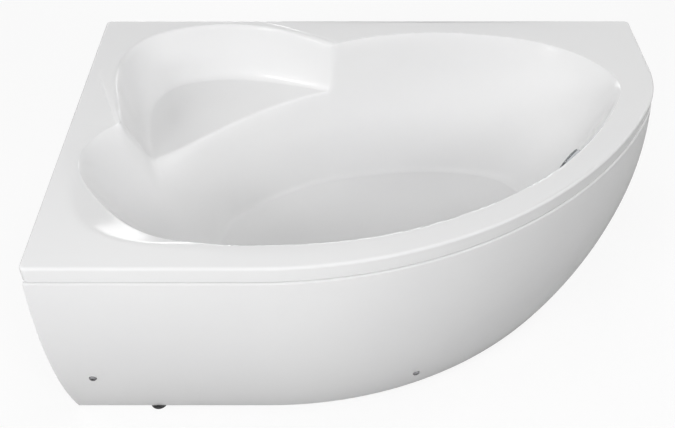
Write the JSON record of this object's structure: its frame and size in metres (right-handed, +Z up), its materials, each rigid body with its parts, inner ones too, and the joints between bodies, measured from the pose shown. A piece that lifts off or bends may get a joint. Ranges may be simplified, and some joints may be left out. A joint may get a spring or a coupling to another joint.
{
  "type": "bathtub",
  "caption": "Asymmetric corner bathtub with an oval basin, a moulded corner seat and a bowed front panel, on a steel frame with levelling feet and a pop-up waste.",
  "frame": {"origin": "on the floor under the middle of the whole object's bounding box", "axes": "+X along the long rear edge to the right as seen from the front, +Y towards the rear wall, +Z up"},
  "size_m": [1.5095, 1.0095, 0.59],
  "materials": {
    "shell_acrylic": "glossy white sanitary acrylic",
    "panel_acrylic": "glossy white vacuum-formed acrylic",
    "chrome": "polished chrome plate",
    "zinc_steel": "zinc plated steel",
    "painted_steel": "grey powder coat",
    "chipboard": "resin-sealed chipboard",
    "black_plastic": "moulded black plastic",
    "white_plastic": "moulded white polypropylene",
    "hose_plastic": "ribbed flexible plastic",
    "cable_sheath": "extruded sheath",
    "rubber": "soft black rubber"
  },
  "bodies": {
    "tub": {"tub_shell": "shell_acrylic", "front_panel": "panel_acrylic", "panel_cups": "chrome", "panel_screws": "chrome", "drain_flange": "chrome", "overflow_rosette": "chrome", "panel_strap_left": "zinc_steel", "panel_strap_right": "zinc_steel", "panel_clips": "zinc_steel", "panel_nuts": "zinc_steel", "frame_bolts": "zinc_steel", "board_screws": "zinc_steel", "foot_nuts": "zinc_steel", "cross_beam_left": "painted_steel", "cross_beam_middle": "painted_steel", "cross_beam_right": "painted_steel", "long_beam_front": "painted_steel", "long_beam_centre": "painted_steel", "long_beam_rear": "painted_steel", "seat_post": "painted_steel", "seat_post_plate": "painted_steel", "base_board": "chipboard", "seat_board": "chipboard", "beam_end_caps": "black_plastic", "drain_body": "white_plastic", "trap_body": "white_plastic", "trap_nut": "white_plastic", "outlet_nut": "white_plastic", "outlet_pipe": "white_plastic", "overflow_body": "white_plastic", "hose_nuts": "white_plastic", "overflow_hose": "hose_plastic", "control_cable": "cable_sheath", "drain_gasket": "rubber", "overflow_gasket": "rubber"},
    "foot_1": {"foot_pad_1": "black_plastic", "foot_stud_1": "zinc_steel"},
    "foot_2": {"foot_pad_2": "black_plastic", "foot_stud_2": "zinc_steel"},
    "foot_3": {"foot_pad_3": "black_plastic", "foot_stud_3": "zinc_steel"},
    "foot_4": {"foot_pad_4": "black_plastic", "foot_stud_4": "zinc_steel"},
    "foot_5": {"foot_pad_5": "black_plastic", "foot_stud_5": "zinc_steel"},
    "foot_6": {"foot_pad_6": "black_plastic", "foot_stud_6": "zinc_steel"},
    "knob": {"overflow_knob": "chrome"},
    "plug": {"plug_cap": "chrome", "plug_seal": "rubber", "plug_stem": "zinc_steel"}
  },
  "joints": [
    {"name": "foot_1_level", "type": "slide", "parent": "tub", "child": "foot_1", "axis": [0, 0, -1], "range_m": [0, 0.025]},
    {"name": "foot_2_level", "type": "slide", "parent": "tub", "child": "foot_2", "axis": [0, 0, -1], "range_m": [0, 0.025]},
    {"name": "foot_3_level", "type": "slide", "parent": "tub", "child": "foot_3", "axis": [0, 0, -1], "range_m": [0, 0.025]},
    {"name": "foot_4_level", "type": "slide", "parent": "tub", "child": "foot_4", "axis": [0, 0, -1], "range_m": [0, 0.025]},
    {"name": "foot_5_level", "type": "slide", "parent": "tub", "child": "foot_5", "axis": [0, 0, -1], "range_m": [0, 0.025]},
    {"name": "foot_6_level", "type": "slide", "parent": "tub", "child": "foot_6", "axis": [0, 0, -1], "range_m": [0, 0.025]},
    {"name": "knob_turn", "type": "hinge", "parent": "tub", "child": "knob", "pos_m": [0.48402, -0.07151, 0.53], "axis": [-0.7248, 0.6246, 0.2907], "range_deg": [0, 95]},
    {"name": "plug_lift", "type": "slide", "parent": "tub", "child": "plug", "axis": [0, 0, 1], "range_m": [0, 0.01]}
  ],
  "couplings": [
    {"joint": "knob_turn", "follows": "plug_lift", "rad_per_m": 157.07}
  ]
}
